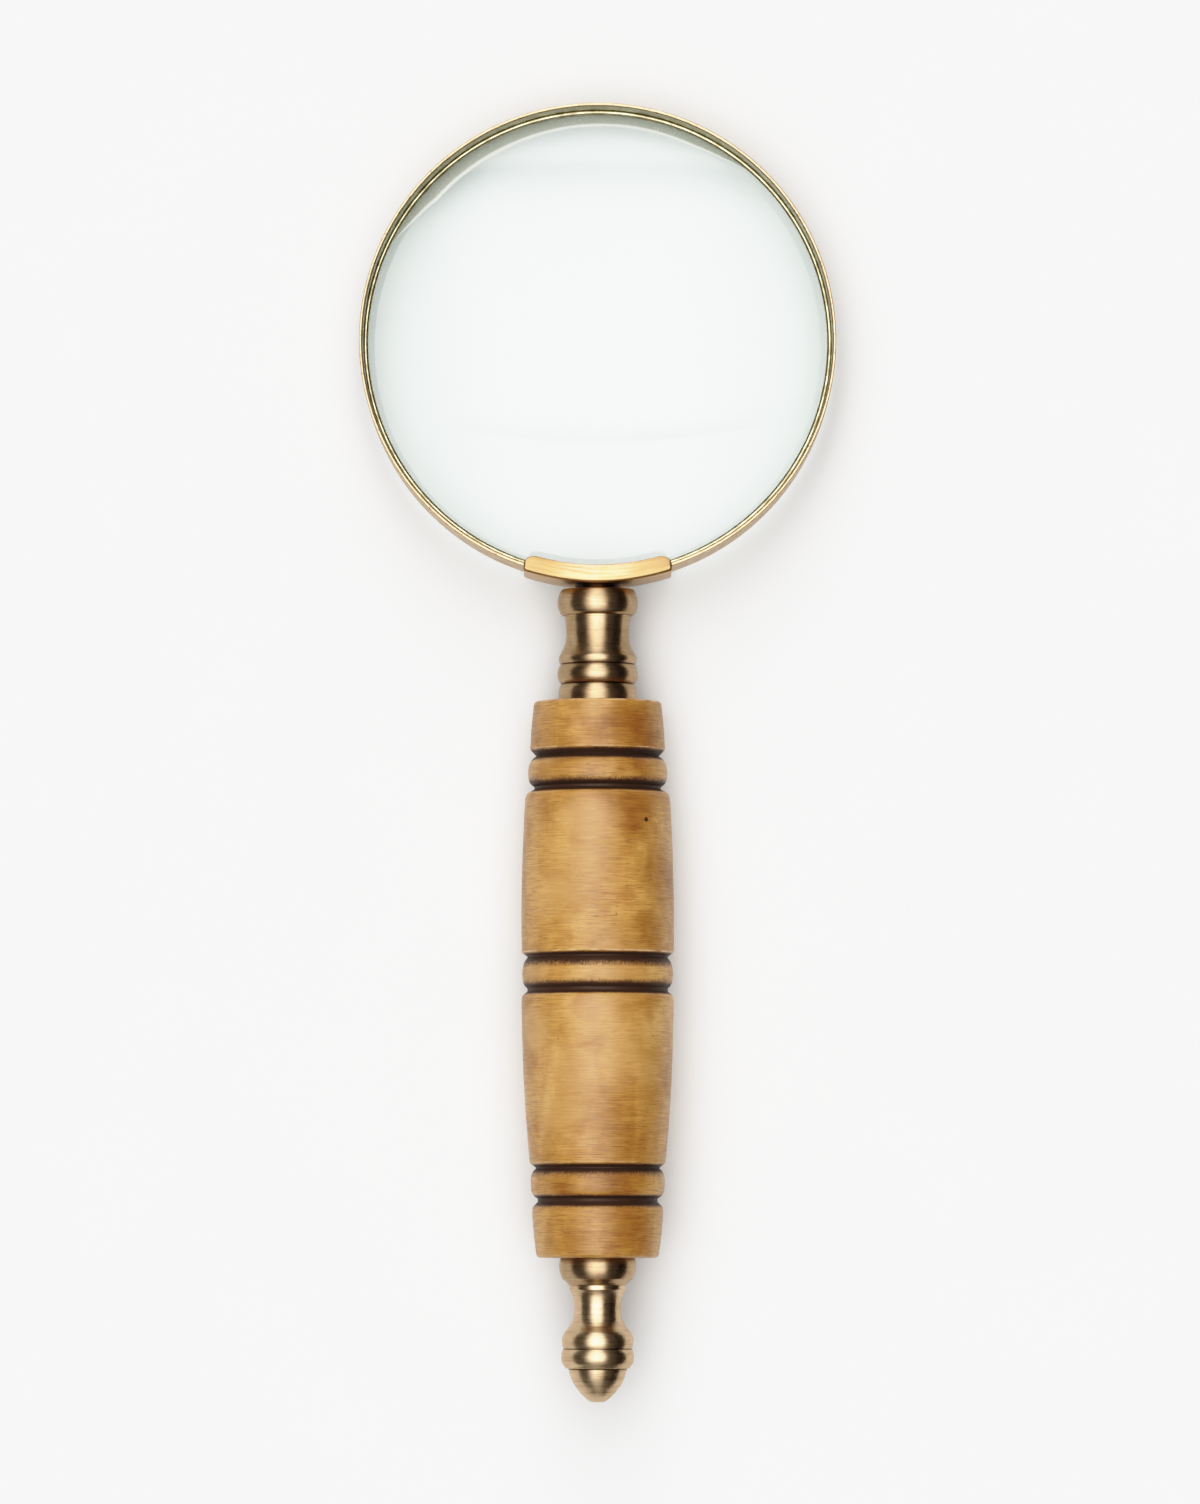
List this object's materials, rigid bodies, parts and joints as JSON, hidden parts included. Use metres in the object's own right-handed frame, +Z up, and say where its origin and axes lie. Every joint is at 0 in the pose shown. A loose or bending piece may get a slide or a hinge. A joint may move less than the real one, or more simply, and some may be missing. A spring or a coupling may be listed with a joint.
{
  "type": "magnifying glass",
  "caption": "Hand-held magnifying glass: round biconvex lens in a brass band with a saddle and turned neck, on a grooved turned wooden handle with a screwed brass finial.",
  "frame": {"origin": "on the table plane under the glass, half way along its length and on its centre line; the glass lies face up, touching the table with the far edge of its rim and the belly of its handle", "axes": "+Z up, +Y along the glass from the finial to the lens, +X to the right as seen from above with the lens at the top; the handle's axis rises by 2.88 degrees towards the finial"},
  "size_m": [0.102, 0.2776, 0.0343],
  "materials": {
    "lens_glass": "polished clear optical glass with a ground bevelled edge",
    "antique_brass": "satin, brushed round the turning, lightly antiqued",
    "bright_brass": "satin brushed, brighter where it is handled",
    "turned_wood": "honey stained and waxed, grooves burnt dark on the lathe",
    "plated_steel": "zinc plated"
  },
  "bodies": {
    "glass_and_handle": {"lens": "lens_glass", "rim_band": "antique_brass", "front_retaining_wire": "bright_brass", "rear_retaining_wire": "bright_brass", "saddle": "bright_brass", "tie_rod": "plated_steel", "neck_collar": "antique_brass", "neck_ferrule": "antique_brass", "wood_handle": "turned_wood", "handle_washer": "plated_steel", "handle_nut": "plated_steel"},
    "finial_collar": {"finial_collar": "antique_brass"},
    "finial": {"finial": "antique_brass"}
  },
  "joints": [
    {"name": "finial_travel", "type": "slide", "parent": "glass_and_handle", "child": "finial_collar", "axis": [0, -0.9987, 0.0503], "range_m": [0, 0.0096]},
    {"name": "finial_turn", "type": "hinge", "parent": "finial_collar", "child": "finial", "pos_m": [0, -0.11339, 0.02066], "axis": [0, -0.9987, 0.0503], "range_deg": [0, 4320]}
  ],
  "couplings": [
    {"joint": "finial_turn", "follows": "finial_travel", "rad_per_m": 7854}
  ]
}
